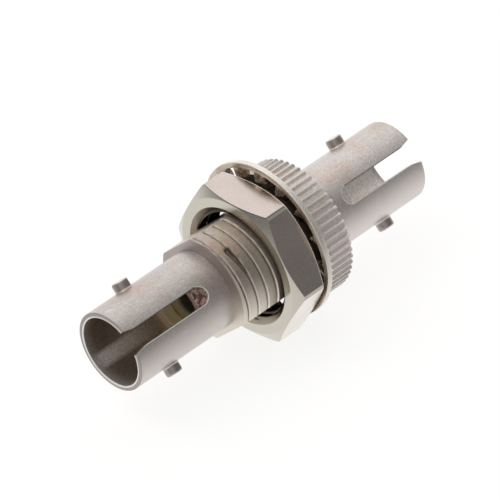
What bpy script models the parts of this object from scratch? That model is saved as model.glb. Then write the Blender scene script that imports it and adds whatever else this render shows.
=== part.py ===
"""Bayonet fibre adapter: a nickel-plated panel coupler that joins two 2.5 mm ferrules.

The adapter lies on one flat of its nut, with its axis along X. Its threaded half points to -X.
Each turned piece is drawn as a half section (distance along the axis, radius) and spun about X.
Distances along the axis are counted from the mouth of the threaded half.
Run with: blender --background --python part.py
"""

import math

import bmesh
import bpy
from mathutils import Matrix, Vector

MM = 0.001

# Plug ports: two thin barrels that are alike, each with a key slot and two bayonet lugs
PLUG_BORE_RADIUS = 3.05 * MM
PLUG_BORE_DEPTH = 7.30 * MM
BARREL_WALL = 0.45 * MM
RIM_BEVEL = 0.10 * MM
SLOT_WIDTH = 1.55 * MM
SLOT_LENGTH = 8.30 * MM
SLOT_MOUTH_WIDTH = 2.05 * MM
SLOT_FLARE_LENGTH = 1.10 * MM
SLOT_FLOOR = 2.80 * MM
LUG_DIAMETER = 1.40 * MM
LUG_HEIGHT = 0.80 * MM
LUG_FROM_MOUTH = 4.00 * MM
LUG_BEVEL = 0.20 * MM

# Outer lengths, from the front mouth to the rear mouth
FRONT_BARREL_LENGTH = 10.25 * MM
SHANK_LENGTH = 8.30 * MM
FLANGE_THICKNESS = 2.70 * MM
REAR_BARREL_LENGTH = 10.75 * MM

# Threaded shank with two flats, which key it in a panel's double-D hole
SHANK_STEP = 1.25 * MM
SHANK_FLAT_DEPTH = 0.77 * MM
SHANK_FLAT_RUNOUT = 0.10 * MM
SHANK_BEVEL = 0.15 * MM
BARREL_FILLET = 0.12 * MM

# Flange with straight flutes, held by finger and thumb
FLANGE_LEDGE = 1.15 * MM
FLANGE_BEVEL = 0.12 * MM
FLUTE_COUNT = 56
FLUTE_DEPTH = 0.24 * MM
FLUTE_WIDTH = 0.44 * MM
FLUTE_FLOOR_WIDTH = 0.14 * MM
FLUTE_LAND = 0.55 * MM

# Ferrule sleeve and the holder that the two bodies trap between their lips
FERRULE_RADIUS = 1.25 * MM
FERRULE_CLEARANCE = 0.05 * MM
SLEEVE_WALL = 0.35 * MM
SLEEVE_LENGTH = 11.40 * MM
SLEEVE_SLIT = 0.50 * MM
SLEEVE_FLOAT = 0.10 * MM
HOLDER_WALL = 0.90 * MM
HOLDER_LEAD_IN = 0.25 * MM
LIP_THICKNESS = 1.06 * MM
LIP_OVERLAP = 0.30 * MM

# Hexagon nut
NUT_WALL = 1.50 * MM
NUT_THICKNESS = 3.10 * MM
NUT_CORNER_ROUNDING = 0.10 * MM
NUT_FACE_INSET = 0.10 * MM
NUT_CHAMFER_ANGLE = math.radians(27.0)
NUT_BORE_CHAMFER = 0.50 * MM
NUT_FROM_FLANGE = 1.45 * MM

# Lock washer with twisted teeth on its inner edge
WASHER_OVERHANG = 2.20 * MM
WASHER_THICKNESS = 0.48 * MM
WASHER_FROM_FLANGE = 0.72 * MM
WASHER_BEVEL = 0.06 * MM
TOOTH_COUNT = 16
TOOTH_LENGTH = 0.90 * MM
TOOTH_ROOT_SHARE = 0.72
TOOTH_TIP_SHARE = 0.70
TOOTH_TWIST = math.radians(18.0)

# Clearances between pieces
THREAD_FIT = 0.08 * MM
TOOTH_CLEARANCE = 0.10 * MM
PRESS_SEAT = 0.03 * MM
HOLDER_FIT = 0.04 * MM
END_GAP = 0.05 * MM

# How the bodies are turned about their axis: the lugs' direction, from +Y towards +Z
LUG_CLOCKING = math.radians(49.0)
WASHER_CLOCKING = math.radians(11.0)

# Facets around a turned surface, a small pin, one tooth with its gap and a slot's round end
TURNED_STEPS = 72
SMALL_STEPS = 20
TOOTH_STEPS = 5
SLOT_END_STEPS = 10
CUT_OVERRUN = 1.0 * MM
MERGE_DISTANCE = 0.0005 * MM

# Sizes that follow from the ones above
BARREL_RADIUS = PLUG_BORE_RADIUS + BARREL_WALL
THREAD_RADIUS = BARREL_RADIUS + SHANK_STEP
FLANGE_RADIUS = THREAD_RADIUS + FLANGE_LEDGE
SLEEVE_RADIUS = FERRULE_RADIUS + SLEEVE_WALL
CAVITY_RADIUS = SLEEVE_RADIUS + SLEEVE_FLOAT
HOLDER_RADIUS = CAVITY_RADIUS + HOLDER_WALL
LIP_RADIUS = HOLDER_RADIUS - LIP_OVERLAP
HOLDER_BORE_RADIUS = HOLDER_RADIUS + HOLDER_FIT
FERRULE_HOLE_RADIUS = FERRULE_RADIUS + FERRULE_CLEARANCE
NUT_HALF_FLATS = THREAD_RADIUS + NUT_WALL
NUT_CORNER_RADIUS = NUT_HALF_FLATS / math.cos(math.pi / 6)
WASHER_RADIUS = THREAD_RADIUS + WASHER_OVERHANG

SHOULDER = FRONT_BARREL_LENGTH
FLANGE_FRONT = SHOULDER + SHANK_LENGTH
FLANGE_BACK = FLANGE_FRONT + FLANGE_THICKNESS
TOTAL_LENGTH = FLANGE_BACK + REAR_BARREL_LENGTH
MIDDLE = TOTAL_LENGTH / 2

# The nut's flat and the washer's rim both lie on the ground
AXIS_HEIGHT = NUT_HALF_FLATS
WASHER_LIFT = WASHER_RADIUS - AXIS_HEIGHT
TOOTH_TIP_RADIUS = THREAD_RADIUS + abs(WASHER_LIFT) + TOOTH_CLEARANCE
WASHER_INNER_RADIUS = TOOTH_TIP_RADIUS + TOOTH_LENGTH

COLOURS = {
    "nickel": ((0.62, 0.58, 0.55, 1.0), 0.34),
    "bright_nickel": ((0.68, 0.65, 0.63, 1.0), 0.26),
    "spring_steel": ((0.50, 0.46, 0.43, 1.0), 0.38),
    "brass": ((0.55, 0.44, 0.26, 1.0), 0.40),
    "phosphor_bronze": ((0.60, 0.36, 0.20, 1.0), 0.32),
}


def clear_scene():
    for obj in list(bpy.data.objects):
        bpy.data.objects.remove(obj, do_unlink=True)


def metal(name):
    colour, roughness = COLOURS[name]
    material = bpy.data.materials.new(name)
    material.use_nodes = True
    shader = material.node_tree.nodes["Principled BSDF"]
    shader.inputs["Base Color"].default_value = colour
    shader.inputs["Metallic"].default_value = 1.0
    shader.inputs["Roughness"].default_value = roughness
    return material


def axis_empty(name, height, clocking):
    """An empty on the adapter's axis, at the middle of its length."""
    empty = bpy.data.objects.new(name, None)
    empty.location = (0.0, 0.0, height)
    empty.rotation_euler = (clocking, 0.0, 0.0)
    bpy.context.scene.collection.objects.link(empty)
    return empty


def place(name, bm, parent, material=None):
    """Turns a bmesh into a named object under its axis empty."""
    bmesh.ops.recalc_face_normals(bm, faces=bm.faces)
    mesh = bpy.data.meshes.new(name)
    bm.to_mesh(mesh)
    bm.free()
    mesh.shade_smooth()
    mesh.set_sharp_from_angle(angle=math.radians(30))
    obj = bpy.data.objects.new(name, mesh)
    obj.parent = parent
    bpy.context.scene.collection.objects.link(obj)
    if material is None:
        obj.hide_render = True
        obj.display_type = "WIRE"
    else:
        mesh.materials.append(material)
    return obj


def combine(obj, tool, operation):
    step = obj.modifiers.new(tool.name, "BOOLEAN")
    step.operation = operation
    step.solver = "EXACT"
    step.object = tool


def spin_section(section, steps=TURNED_STEPS):
    """Spins a closed half section of (distance, radius) points once round the X axis."""
    bm = bmesh.new()
    corners = [bm.verts.new((distance - MIDDLE, radius, 0.0)) for distance, radius in section]
    edges = [bm.edges.new((a, b)) for a, b in zip(corners, corners[1:] + corners[:1])]
    bmesh.ops.spin(
        bm, geom=corners + edges, cent=(0, 0, 0), axis=(1, 0, 0),
        angle=math.tau, steps=steps, use_merge=True, use_duplicate=False,
    )
    bmesh.ops.remove_doubles(bm, verts=bm.verts, dist=MERGE_DISTANCE)
    return bm


def extrude_outline(outline, direction):
    """Extrudes a closed outline of 3-D points along a direction into a closed solid."""
    bm = bmesh.new()
    face = bm.faces.new([bm.verts.new(point) for point in outline])
    grown = bmesh.ops.extrude_face_region(bm, geom=[face])
    moved = [item for item in grown["geom"] if isinstance(item, bmesh.types.BMVert)]
    bmesh.ops.translate(bm, verts=moved, vec=direction)
    return bm


def mirrored_section(section):
    """The same half section counted from the rear mouth."""
    return [(TOTAL_LENGTH - distance, radius) for distance, radius in section]


def slot_outline():
    """Key slot seen from outside: a flared mouth, straight sides and a round end."""
    half = SLOT_WIDTH / 2
    flare = SLOT_MOUTH_WIDTH / 2
    centre = SLOT_LENGTH - half
    side = [(-CUT_OVERRUN, flare), (0.0, flare), (SLOT_FLARE_LENGTH, half)]
    turns = [math.pi * (0.5 - i / SLOT_END_STEPS) for i in range(SLOT_END_STEPS + 1)]
    end = [(centre + half * math.cos(turn), half * math.sin(turn)) for turn in turns]
    back = [(distance, -offset) for distance, offset in reversed(side)]
    return side + end + back


def slot_cutter(name, parent, from_rear):
    """A bar of the slot's outline that passes through the barrel's wall and ends in the lip."""
    outline = []
    for distance, offset in slot_outline():
        along = TOTAL_LENGTH - distance if from_rear else distance
        outline.append((along - MIDDLE, offset, SLOT_FLOOR))
    reach = Vector((0.0, 0.0, BARREL_RADIUS + CUT_OVERRUN))
    return place(name, extrude_outline(outline, reach), parent)


def lug_pair(name, parent, from_rear):
    """Two bayonet lugs opposite each other, rooted in the barrel's wall."""
    radius = LUG_DIAMETER / 2
    root = PLUG_BORE_RADIUS + BARREL_WALL / 2
    tip = BARREL_RADIUS + LUG_HEIGHT
    along = TOTAL_LENGTH - LUG_FROM_MOUTH if from_rear else LUG_FROM_MOUTH
    section = [(root, 0.0), (root, radius), (tip - LUG_BEVEL, radius),
               (tip, radius - LUG_BEVEL), (tip, 0.0)]
    bm = bmesh.new()
    for side in (1, -1):
        points = [bm.verts.new((along - MIDDLE + r, side * out, 0.0)) for out, r in section]
        edges = [bm.edges.new(pair) for pair in zip(points, points[1:])]
        bmesh.ops.spin(
            bm, geom=points + edges, cent=(along - MIDDLE, 0, 0), axis=(0, 1, 0),
            angle=math.tau, steps=SMALL_STEPS, use_merge=True, use_duplicate=False,
        )
    bmesh.ops.remove_doubles(bm, verts=bm.verts, dist=MERGE_DISTANCE)
    return place(name, bm, parent)


def add_port(body, parent, end, from_rear):
    combine(body, lug_pair(end + "_lugs", parent, from_rear), "UNION")
    combine(body, slot_cutter(end + "_key_slot", parent, from_rear), "DIFFERENCE")


def port_mouth_section():
    """Outside to inside over a barrel's rim, then down the bore and over the lip."""
    return [
        (RIM_BEVEL, BARREL_RADIUS),
        (0.0, BARREL_RADIUS - RIM_BEVEL),
        (0.0, PLUG_BORE_RADIUS + RIM_BEVEL),
        (RIM_BEVEL, PLUG_BORE_RADIUS),
        (PLUG_BORE_DEPTH, PLUG_BORE_RADIUS),
        (PLUG_BORE_DEPTH, LIP_RADIUS),
        (PLUG_BORE_DEPTH + LIP_THICKNESS, LIP_RADIUS),
        (PLUG_BORE_DEPTH + LIP_THICKNESS, HOLDER_BORE_RADIUS),
    ]


def shank_flat_cutter(parent):
    """Two blocks that leave the shank a double-D, from its shoulder to just before the flange."""
    flat = THREAD_RADIUS - SHANK_FLAT_DEPTH
    reach = THREAD_RADIUS + CUT_OVERRUN
    bm = bmesh.new()
    for side in (1, -1):
        block = bmesh.ops.create_cube(bm, size=1.0)["verts"]
        start = SHOULDER - BARREL_FILLET - CUT_OVERRUN
        end = FLANGE_FRONT - SHANK_FLAT_RUNOUT
        size = Vector((end - start, reach - flat, 2 * reach))
        centre = Vector(((start + end) / 2 - MIDDLE, side * (reach + flat) / 2, 0.0))
        bmesh.ops.scale(bm, verts=block, vec=size)
        bmesh.ops.translate(bm, verts=block, vec=centre)
    return place("shank_flats", bm, parent)


def flute_cutter(parent):
    """Trapezoid grooves round the flange, from a plain front land out through its back face."""
    start = FLANGE_FRONT + FLUTE_LAND - MIDDLE
    run = Vector((FLANGE_THICKNESS - FLUTE_LAND + CUT_OVERRUN, 0.0, 0.0))
    floor = FLANGE_RADIUS - FLUTE_DEPTH
    outside = FLANGE_RADIUS + FLUTE_DEPTH
    floor_half = FLUTE_FLOOR_WIDTH / 2
    outer_half = FLUTE_WIDTH - floor_half
    bm = bmesh.new()
    for i in range(FLUTE_COUNT):
        turn = Matrix.Rotation(math.tau * i / FLUTE_COUNT, 4, "X")
        corners = [(start, floor, -floor_half), (start, floor, floor_half),
                   (start, outside, outer_half), (start, outside, -outer_half)]
        face = bm.faces.new([bm.verts.new(turn @ Vector(corner)) for corner in corners])
        grown = bmesh.ops.extrude_face_region(bm, geom=[face])
        moved = [item for item in grown["geom"] if isinstance(item, bmesh.types.BMVert)]
        bmesh.ops.translate(bm, verts=moved, vec=run)
    return place("flange_flutes", bm, parent)


def make_front_body(parent, material):
    """Front barrel, threaded shank and fluted flange, turned and milled from one blank."""
    spigot_bore = BARREL_RADIUS + PRESS_SEAT
    inside = port_mouth_section()[1:] + [
        (FLANGE_FRONT, HOLDER_BORE_RADIUS),
        (FLANGE_FRONT, spigot_bore),
        (FLANGE_BACK - RIM_BEVEL, spigot_bore),
        (FLANGE_BACK, spigot_bore + RIM_BEVEL),
    ]
    outside = [
        (FLANGE_BACK, FLANGE_RADIUS - FLANGE_BEVEL),
        (FLANGE_BACK - FLANGE_BEVEL, FLANGE_RADIUS),
        (FLANGE_FRONT + FLANGE_BEVEL, FLANGE_RADIUS),
        (FLANGE_FRONT, FLANGE_RADIUS - FLANGE_BEVEL),
        (FLANGE_FRONT, THREAD_RADIUS),
        (SHOULDER + SHANK_BEVEL, THREAD_RADIUS),
        (SHOULDER, THREAD_RADIUS - SHANK_BEVEL),
        (SHOULDER, BARREL_RADIUS + BARREL_FILLET),
        (SHOULDER - BARREL_FILLET, BARREL_RADIUS),
        (RIM_BEVEL, BARREL_RADIUS),
    ]
    body = place("front_body", spin_section(inside + outside), parent, material)
    combine(body, shank_flat_cutter(parent), "DIFFERENCE")
    combine(body, flute_cutter(parent), "DIFFERENCE")
    add_port(body, parent, "front", from_rear=False)
    return body


def make_rear_body(parent, material):
    """Rear barrel. Its plain end is the spigot that is pressed into the flange."""
    spigot_end = TOTAL_LENGTH - FLANGE_FRONT - END_GAP
    outside = [
        (spigot_end, HOLDER_BORE_RADIUS),
        (spigot_end, BARREL_RADIUS - RIM_BEVEL),
        (spigot_end - RIM_BEVEL, BARREL_RADIUS),
    ]
    section = mirrored_section(port_mouth_section() + outside)
    body = place("rear_body", spin_section(section), parent, material)
    add_port(body, parent, "rear", from_rear=True)
    return body


def make_holder_half(name, parent, material, from_rear):
    """One cup of the sleeve holder: a ferrule hole in its end wall, open at the middle."""
    outer_end = PLUG_BORE_DEPTH + LIP_THICKNESS + END_GAP
    inner_end = MIDDLE - END_GAP / 2
    cavity = MIDDLE - SLEEVE_LENGTH / 2 - SLEEVE_FLOAT
    section = [
        (outer_end, FERRULE_HOLE_RADIUS + HOLDER_LEAD_IN),
        (outer_end + HOLDER_LEAD_IN, FERRULE_HOLE_RADIUS),
        (cavity, FERRULE_HOLE_RADIUS),
        (cavity, CAVITY_RADIUS),
        (inner_end, CAVITY_RADIUS),
        (inner_end, HOLDER_RADIUS),
        (outer_end, HOLDER_RADIUS),
    ]
    if from_rear:
        section = mirrored_section(section)
    return place(name, spin_section(section), parent, material)


def make_split_sleeve(parent, material):
    """Spring tube that lines up the two ferrules: a thin C-section with one open slit."""
    slit = math.asin(SLEEVE_SLIT / 2 / FERRULE_RADIUS)
    sweep = math.tau - 2 * slit
    steps = TURNED_STEPS // 2
    angles = [slit + sweep * i / steps for i in range(steps + 1)]
    outline = [(FERRULE_RADIUS, angle) for angle in angles]
    outline += [(SLEEVE_RADIUS, angle) for angle in reversed(angles)]
    start = -SLEEVE_LENGTH / 2
    points = [(start, r * math.cos(angle), r * math.sin(angle)) for r, angle in outline]
    bm = extrude_outline(points, Vector((SLEEVE_LENGTH, 0.0, 0.0)))
    return place("split_sleeve", bm, parent, material)


def make_hex_nut(parent, material):
    """Thin panel nut. Both faces are turned to a cone, which leaves curved edges on the flats."""
    back = FLANGE_FRONT - NUT_FROM_FLANGE
    front = back - NUT_THICKNESS
    outline = []
    for corner in range(6):
        angle = math.radians(60 * corner)
        outline.append((
            front - CUT_OVERRUN - MIDDLE,
            NUT_CORNER_RADIUS * math.cos(angle),
            NUT_CORNER_RADIUS * math.sin(angle),
        ))
    length = NUT_THICKNESS + 2 * CUT_OVERRUN
    nut = place("hex_nut", extrude_outline(outline, Vector((length, 0.0, 0.0))), parent, material)

    rim = NUT_CORNER_RADIUS - NUT_CORNER_ROUNDING
    face = NUT_HALF_FLATS - NUT_FACE_INSET
    fall = (rim - face) * math.tan(NUT_CHAMFER_ANGLE)
    bore = THREAD_RADIUS + THREAD_FIT
    blank = [
        (front, face),
        (front + fall, rim),
        (back - fall, rim),
        (back, face),
        (back, bore + NUT_BORE_CHAMFER),
        (back - NUT_BORE_CHAMFER, bore),
        (front + NUT_BORE_CHAMFER, bore),
        (front, bore + NUT_BORE_CHAMFER),
    ]
    combine(nut, place("nut_blank", spin_section(blank), parent), "INTERSECT")
    return nut


def make_lock_washer(parent, material):
    """Flat ring with teeth that are grown from its inner wall and twisted out of its plane."""
    back = FLANGE_FRONT - WASHER_FROM_FLANGE
    front = back - WASHER_THICKNESS
    ring = [
        (front, WASHER_INNER_RADIUS),
        (front, WASHER_RADIUS - WASHER_BEVEL),
        (front + WASHER_BEVEL, WASHER_RADIUS),
        (back - WASHER_BEVEL, WASHER_RADIUS),
        (back, WASHER_RADIUS - WASHER_BEVEL),
        (back, WASHER_INNER_RADIUS),
    ]
    bm = spin_section(ring, TOOTH_STEPS * TOOTH_COUNT)
    centre_line = (front + back) / 2 - MIDDLE

    def tooth_turn(tooth):
        return math.tau * (tooth + 0.5) / TOOTH_COUNT

    def is_inner(face):
        radii = [math.hypot(vert.co.y, vert.co.z) for vert in face.verts]
        return max(radii) < WASHER_INNER_RADIUS + WASHER_BEVEL / 2

    inner_wall = [face for face in bm.faces if is_inner(face)]
    root_half_angle = math.pi / TOOTH_COUNT * TOOTH_ROOT_SHARE
    for tooth in range(TOOTH_COUNT):
        turn = Matrix.Rotation(-tooth_turn(tooth), 4, "X")
        base = []
        for face in inner_wall:
            middle = turn @ face.calc_center_median()
            if abs(math.atan2(middle.z, middle.y)) < root_half_angle:
                base.append(face)
        inner_wall = [face for face in inner_wall if face not in base]
        grown = bmesh.ops.extrude_face_region(bm, geom=base)
        bmesh.ops.delete(bm, geom=base, context="FACES_ONLY")
        twist = Matrix.Rotation(TOOTH_TWIST, 4, "Y")
        for vert in [item for item in grown["geom"] if isinstance(item, bmesh.types.BMVert)]:
            point = turn @ vert.co
            thin = Vector((point.x - centre_line, 0.0, point.z * TOOTH_TIP_SHARE))
            bent = twist @ thin
            bent.x += centre_line
            bent.y = math.sqrt(TOOTH_TIP_RADIUS ** 2 - bent.z ** 2)
            vert.co = turn.inverted() @ bent
    return place("lock_washer", bm, parent, material)


def build():
    clear_scene()
    metals = {name: metal(name) for name in COLOURS}
    adapter_axis = axis_empty("adapter_axis", AXIS_HEIGHT, LUG_CLOCKING)
    nut_axis = axis_empty("nut_axis", AXIS_HEIGHT, 0.0)
    washer_axis = axis_empty("washer_axis", AXIS_HEIGHT + WASHER_LIFT, WASHER_CLOCKING)
    make_front_body(adapter_axis, metals["nickel"])
    make_rear_body(adapter_axis, metals["nickel"])
    make_holder_half("sleeve_holder_front", adapter_axis, metals["brass"], from_rear=False)
    make_holder_half("sleeve_holder_rear", adapter_axis, metals["brass"], from_rear=True)
    make_split_sleeve(adapter_axis, metals["phosphor_bronze"])
    make_hex_nut(nut_axis, metals["bright_nickel"])
    make_lock_washer(washer_axis, metals["spring_steel"])
    bpy.context.view_layer.update()


build()
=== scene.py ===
"""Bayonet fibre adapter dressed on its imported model: plated brass bodies, sleeve, lock washer and nut.

Lengths are in millimetres until a mesh is placed, and in metres for the floor and the lamps. Along
the axis they are counted from the middle of the adapter, with the threaded half on the negative
side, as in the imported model.
"""
import math

import bmesh
import bpy
from mathutils import Matrix, Vector


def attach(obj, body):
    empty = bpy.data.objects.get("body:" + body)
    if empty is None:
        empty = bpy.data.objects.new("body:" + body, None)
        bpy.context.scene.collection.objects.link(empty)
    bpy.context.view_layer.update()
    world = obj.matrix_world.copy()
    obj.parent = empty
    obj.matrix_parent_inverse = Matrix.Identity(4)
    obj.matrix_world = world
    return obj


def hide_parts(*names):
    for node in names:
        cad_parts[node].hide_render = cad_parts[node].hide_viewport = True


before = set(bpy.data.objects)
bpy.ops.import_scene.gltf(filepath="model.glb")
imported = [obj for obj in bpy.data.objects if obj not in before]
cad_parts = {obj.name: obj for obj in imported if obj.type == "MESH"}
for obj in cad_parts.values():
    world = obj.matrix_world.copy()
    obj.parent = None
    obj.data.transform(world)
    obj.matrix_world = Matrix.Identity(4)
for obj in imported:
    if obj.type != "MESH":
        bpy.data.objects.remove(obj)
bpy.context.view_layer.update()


# Front barrel
# Thin tube that takes the first plug, turned in one with the shank from a brass bar. An end mill
# cuts the key slot, two pins are pressed in as bayonet lugs, and all of it is plated with nickel.

MM = 0.001
MOUTH = 16.00
BORE = 3.05
BARREL = 3.50
BORE_DEPTH = 7.30
LIP = 2.30
LIP_DEPTH = 8.36
SLEEVE_SEAT = 2.64
SLOT_LENGTH = 8.30
SLOT_WIDTH = 1.55
SLOT_MOUTH = 2.05
SLOT_FLARE = 1.10
SLOT_FLOOR = 2.80
LUG_DEPTH = 4.00
LUG_RADIUS = 0.70
LUG_TIP = 4.30
SHOULDER = 10.25 - MOUTH
FLAT = 3.99
CREST = 4.75
FLANGE_FRONT = 18.55 - MOUTH
FLANGE = 5.90
AXIS_HEIGHT = 6.25
ROLL = 49.0
BODY_AXIS = Matrix.Translation((0, 0, AXIS_HEIGHT * MM)) @ Matrix.Rotation(math.radians(ROLL), 4, "X")


def linear(colour):
    """An sRGB hex colour as linear red, green, blue and alpha."""
    parts = [int(colour[i:i + 2], 16) / 255 for i in (1, 3, 5)]
    return (*(c / 12.92 if c <= 0.04045 else ((c + 0.055) / 1.055) ** 2.4 for c in parts), 1.0)


def feed(tree, node, inputs):
    """Gives inputs of a node a value, another node or a node's socket."""
    for key, value in inputs.items():
        if isinstance(value, bpy.types.Node):
            value = value.outputs[0]
        if isinstance(value, bpy.types.NodeSocket):
            tree.links.new(value, node.inputs[key])
        else:
            node.inputs[key].default_value = value


def add(tree, kind, inputs=None, **settings):
    """Adds a node with its settings and inputs."""
    node = tree.nodes.new(kind)
    for name, value in settings.items():
        setattr(node, name, value)
    feed(tree, node, inputs or {})
    return node


def maths(tree, operation, *values):
    """A sum, a product or the like of up to three values."""
    return add(tree, "ShaderNodeMath", dict(enumerate(values)), operation=operation)


def times(tree, first, *factors):
    """The product of any number of values."""
    for factor in factors:
        first = maths(tree, "MULTIPLY", first, factor)
    return first


def ramp(tree, value, start, end, low=0.0, high=1.0, **settings):
    """Takes start to low and end to high, and holds them beyond."""
    return add(tree, "ShaderNodeMapRange", {0: value, 1: start, 2: end, 3: low, 4: high}, **settings)


def dot(tree, vector, way):
    """How far a vector reaches one way."""
    return add(tree, "ShaderNodeVectorMath", {0: vector, 1: way}, operation="DOT_PRODUCT").outputs["Value"]


def scaled(tree, vector, factor):
    """A vector or colour times a number."""
    return add(tree, "ShaderNodeVectorMath", {0: vector, 3: factor}, operation="SCALE")


def blend(tree, share, tone, other):
    """A colour, or the other one as far as the share says. Either may be given as sRGB hex."""
    tone, other = (linear(colour) if isinstance(colour, str) else colour for colour in (tone, other))
    return add(tree, "ShaderNodeMix", {0: share, 6: tone, 7: other}, data_type="RGBA").outputs[2]


def eased(corners, longest=0.5):
    """Closed outline of (along, radius, easing) corners, each eased round, in steps no longer than asked."""
    points = []
    for i, (along, radius, easing) in enumerate(corners):
        here = Vector((along, radius))
        if easing:
            before = Vector(corners[i - 1][:2]) - here
            after = Vector(corners[(i + 1) % len(corners)][:2]) - here
            start = here + before.normalized() * easing
            end = here + after.normalized() * easing
            for k in (0.0, 0.25, 0.5, 0.75, 1.0):
                points.append(start * (1 - k) ** 2 + here * 2 * k * (1 - k) + end * k ** 2)
        else:
            points.append(here)
    outline = []
    for a, b in zip(points, points[1:] + points[:1]):
        steps = max(1, math.ceil((b - a).length / longest))
        outline += [a.lerp(b, k / steps) for k in range(steps)]
    return outline


def turned(corners, columns=240, longest=0.5):
    """Turns a closed outline round the X axis, as on a lathe."""
    bm = bmesh.new()
    rings = []
    for along, radius in eased(corners, longest):
        angles = [math.tau * k / columns for k in range(columns)]
        rings.append([bm.verts.new((along, radius * math.cos(a), radius * math.sin(a))) for a in angles])
    for ring, after in zip(rings, rings[1:] + rings[:1]):
        for k in range(columns):
            n = (k + 1) % columns
            bm.faces.new((ring[k], after[k], after[n], ring[n]))
    bmesh.ops.remove_doubles(bm, verts=bm.verts, dist=0.0005)
    bmesh.ops.recalc_face_normals(bm, faces=bm.faces)
    return bm


def finished(name, bm, place, material, crease=32.0):
    """Makes an object of a bmesh in millimetres, with its place kept in the mesh."""
    mesh = bpy.data.meshes.new(name)
    bm.to_mesh(mesh)
    bm.free()
    mesh.transform(place @ Matrix.Scale(MM, 4))
    mesh.shade_smooth()
    mesh.set_sharp_from_angle(angle=math.radians(crease))
    mesh.materials.clear()
    mesh.materials.append(material)
    obj = bpy.data.objects.new(name, mesh)
    bpy.context.scene.collection.objects.link(obj)
    return obj


def boolean(bm, tool, operation):
    """Cuts one bmesh with another, or keeps only what they share."""
    pair = []
    for step in (bm, tool):
        mesh = bpy.data.meshes.new("blank")
        step.to_mesh(mesh)
        step.free()
        pair.append(bpy.data.objects.new("blank", mesh))
        bpy.context.scene.collection.objects.link(pair[-1])
    cut = pair[0].modifiers.new("cut", "BOOLEAN")
    cut.operation = operation
    cut.solver = "EXACT"
    cut.object = pair[1]
    result = bpy.data.meshes.new_from_object(pair[0].evaluated_get(bpy.context.evaluated_depsgraph_get()))
    for blank in pair:
        bpy.data.objects.remove(blank, do_unlink=True)
    bm = bmesh.new()
    bm.from_mesh(result)
    bpy.data.meshes.remove(result)
    return bm


def slot_mill():
    """The metal that the end mill takes out: a flared slot with a round end and eased outer edges."""
    levels = [(0.0, 0.0), (3.43, 0.0), (3.455, 0.004), (3.475, 0.014), (3.49, 0.035), (3.80, 0.45)]
    centre = SLOT_LENGTH - SLOT_WIDTH / 2
    bm = bmesh.new()
    rings = []
    for radius, ease in levels:
        half = SLOT_WIDTH / 2 + ease
        flare = SLOT_MOUTH / 2 + ease
        side = [(-1.0, flare), (0.0, flare), (SLOT_FLARE * 0.85, half + 0.035), (SLOT_FLARE * 1.15, half)]
        side += [(SLOT_FLARE * 1.15 + k * 0.4, half) for k in range(1, 15)]
        arc = [math.pi * (0.5 - k / 24) for k in range(25)]
        outline = side + [(centre + half * math.cos(a), half * math.sin(a)) for a in arc]
        outline += [(x, -y) for x, y in reversed(side)]
        rises = [math.sqrt(max(radius ** 2 - y ** 2, SLOT_FLOOR ** 2)) for x, y in outline]
        rings.append([bm.verts.new((x - MOUTH, y, rise)) for (x, y), rise in zip(outline, rises)])
    for ring, above in zip(rings, rings[1:]):
        for k in range(len(ring)):
            n = (k + 1) % len(ring)
            bm.faces.new((ring[k], ring[n], above[n], above[k]))
    bm.faces.new(rings[0])
    bm.faces.new(rings[-1])
    bmesh.ops.recalc_face_normals(bm, faces=bm.faces)
    return bm


def barrel_tube(inside_end):
    """One barrel with its slot and lugs, with its mouth on the negative side."""
    lip_front = BORE_DEPTH - MOUTH
    lip_back = LIP_DEPTH - MOUTH
    outline = [
        (-MOUTH, BARREL, 0.09), (-MOUTH, BORE, 0.07), (lip_front, BORE, 0.0), (lip_front, LIP, 0.06),
        (lip_back, LIP, 0.06), (lip_back, SLEEVE_SEAT, 0.0), *inside_end,
    ]
    bm = boolean(turned(outline, longest=0.3), slot_mill(), "DIFFERENCE")
    pin = [
        (3.20, 0.0, 0.0), (3.20, 0.8, 0.0), (BARREL - 0.06, 0.8, 0.0),
        (BARREL + 0.01, LUG_RADIUS + 0.03, 0.0), (BARREL + 0.08, LUG_RADIUS, 0.03),
        (LUG_TIP, LUG_RADIUS, 0.24), (LUG_TIP, 0.0, 0.0),
    ]
    for side in (1, -1):
        lug = turned(pin, columns=48, longest=0.2)
        stand = Matrix.Translation((LUG_DEPTH - MOUTH, 0, 0)) @ Matrix.Rotation(side * math.pi / 2, 4, "Z")
        mesh = bpy.data.meshes.new("lug")
        lug.transform(stand)
        lug.to_mesh(mesh)
        lug.free()
        bm.from_mesh(mesh)
        bpy.data.meshes.remove(mesh)
    return bm


def metal_places(name, axis_height):
    """A new metal with its tree, and where a point is: in millimetres, along, across and off the axis."""
    material = bpy.data.materials.new(name)
    material.use_nodes = True
    tree = material.node_tree
    place = add(tree, "ShaderNodeTexCoord")
    in_mm = scaled(tree, place.outputs["Object"], 1000.0)
    split = add(tree, "ShaderNodeSeparateXYZ", {0: in_mm})
    height = maths(tree, "SUBTRACT", split.outputs[2], axis_height)
    across = add(tree, "ShaderNodeCombineXYZ", {1: split.outputs[1], 2: height})
    radius = add(tree, "ShaderNodeVectorMath", {0: across}, operation="LENGTH").outputs["Value"]
    return material, tree, in_mm, split.outputs[0], across, radius


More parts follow.
